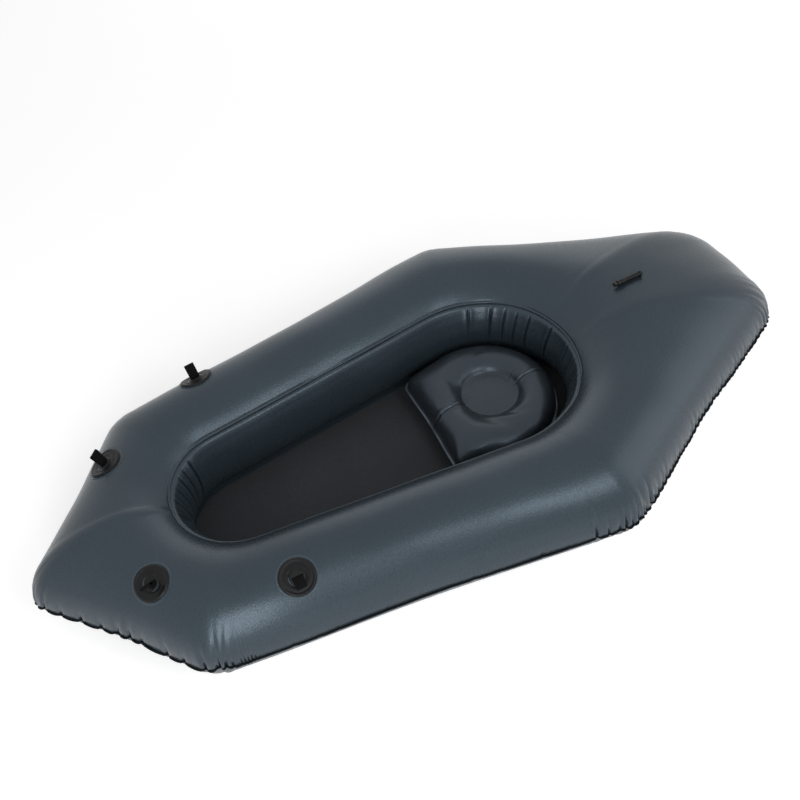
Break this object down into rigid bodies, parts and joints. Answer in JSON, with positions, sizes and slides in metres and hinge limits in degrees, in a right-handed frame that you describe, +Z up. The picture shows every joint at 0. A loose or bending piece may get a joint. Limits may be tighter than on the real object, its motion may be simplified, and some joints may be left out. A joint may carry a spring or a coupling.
{
  "type": "inflatable raft",
  "caption": "One-person inflatable raft with an upturned tube round an open cockpit, a flat floor, a D-shaped inflated seat, webbing tie-downs and an oral inflation tube.",
  "frame": {"origin": "on the ground under the middle of the raft's overall box", "axes": "+X to the bow, +Y to port, +Z up"},
  "size_m": [2, 1.0564, 0.3379],
  "materials": {
    "hull_fabric": "coated nylon, slate blue-grey, semi-matt with a fine sheen",
    "floor_fabric": "heavy coated nylon, dark grey, matt",
    "seat_fabric": "coated nylon, dark grey, semi-matt",
    "binding_tape": "black coated tape, matt",
    "black_webbing": "woven black webbing, matt",
    "black_rubber": "moulded soft plastic, matt",
    "black_plastic": "moulded hard plastic, satin",
    "spring_steel": "bright drawn wire"
  },
  "bodies": {
    "hull": {"deck_panel": "hull_fabric", "cockpit_wall_panel": "hull_fabric", "bottom_panel": "hull_fabric", "floor_sheet": "floor_fabric", "outer_seam_binding": "binding_tape", "tie_down_base_1": "hull_fabric", "tie_down_base_2": "hull_fabric", "tie_down_base_3": "hull_fabric", "tie_down_base_4": "hull_fabric", "tie_down_pad_1": "black_rubber", "tie_down_pad_2": "black_rubber", "tie_down_pad_3": "black_rubber", "tie_down_pad_4": "black_rubber", "oral_flange": "black_rubber", "main_valve_body": "black_plastic", "main_valve_spider": "black_plastic", "main_valve_spring": "spring_steel"},
    "loop_1": {"tie_down_loop_1": "black_webbing"},
    "loop_2": {"tie_down_loop_2": "black_webbing"},
    "loop_3": {"tie_down_loop_3": "black_webbing"},
    "loop_4": {"tie_down_loop_4": "black_webbing"},
    "inflation_tube": {"oral_tube": "black_rubber"},
    "mouthpiece": {"oral_mouthpiece": "black_plastic", "oral_spring": "spring_steel"},
    "poppet": {"oral_poppet": "black_plastic"},
    "valve_insert": {"main_valve_stem": "black_plastic", "main_valve_diaphragm": "black_rubber"},
    "cap_gasket": {"main_valve_gasket": "black_rubber"},
    "cap": {"main_valve_cap": "black_plastic"},
    "seat": {"seat_top_skin": "seat_fabric", "seat_bottom_skin": "seat_fabric", "seat_baffle": "seat_fabric", "seat_valve_body": "black_plastic"},
    "seat_plug": {"seat_valve_plug": "black_rubber"}
  },
  "joints": [
    {"name": "loop_1_swing", "type": "hinge", "parent": "hull", "child": "loop_1", "pos_m": [0.44751, 0.3414, 0.27144], "axis": [0.9973, -0.0363, -0.0639], "range_deg": [0, 90], "stiffness_Nm_per_rad": 0.02},
    {"name": "loop_2_swing", "type": "hinge", "parent": "hull", "child": "loop_2", "pos_m": [0.44751, -0.3414, 0.27143], "axis": [0.9973, 0.0363, -0.0639], "range_deg": [-45, 45], "stiffness_Nm_per_rad": 0.02},
    {"name": "loop_3_swing", "type": "hinge", "parent": "hull", "child": "loop_3", "pos_m": [0.7324, 0.1928, 0.27503], "axis": [0.9373, -0.0969, -0.3347], "range_deg": [-20, 70], "stiffness_Nm_per_rad": 0.02},
    {"name": "loop_4_swing", "type": "hinge", "parent": "hull", "child": "loop_4", "pos_m": [0.73236, -0.19262, 0.27489], "axis": [0.7233, 0.6841, -0.0945], "range_deg": [-45, 45], "stiffness_Nm_per_rad": 0.02},
    {"name": "oral_tube_lift", "type": "hinge", "parent": "hull", "child": "inflation_tube", "pos_m": [-0.65661, 0.00698, 0.32995], "axis": [0, -1, 0], "range_deg": [0, 75]},
    {"name": "oral_mouthpiece_turn", "type": "hinge", "parent": "inflation_tube", "child": "mouthpiece", "pos_m": [-0.59661, 0.00698, 0.32995], "axis": [1, 0, 0], "range_deg": [0, 90]},
    {"name": "oral_poppet_push", "type": "slide", "parent": "mouthpiece", "child": "poppet", "axis": [-1, 0, 0], "range_m": [0, 0.003], "stiffness_N_per_m": 20, "springref_m": -0.01, "deforming": ["oral_spring"]},
    {"name": "main_valve_push", "type": "slide", "parent": "hull", "child": "valve_insert", "axis": [0.4297, 0.8725, -0.2327], "range_m": [0, 0.005], "stiffness_N_per_m": 60, "springref_m": -0.01, "deforming": ["main_valve_spring"]},
    {"name": "main_cap_lift", "type": "slide", "parent": "hull", "child": "cap_gasket", "axis": [-0.4297, -0.8725, 0.2327], "range_m": [0, 0.03]},
    {"name": "main_cap_turn", "type": "hinge", "parent": "cap_gasket", "child": "cap", "pos_m": [-0.79644, -0.23981, 0.1786], "axis": [-0.4297, -0.8725, 0.2327], "range_deg": [0, 90]},
    {"name": "seat_lift", "type": "slide", "parent": "hull", "child": "seat", "axis": [0, 0, 1], "range_m": [0, 0.3]},
    {"name": "seat_plug_pull", "type": "slide", "parent": "seat", "child": "seat_plug", "axis": [0.2606, 0.945, 0.1975], "range_m": [0, 0.01]}
  ]
}
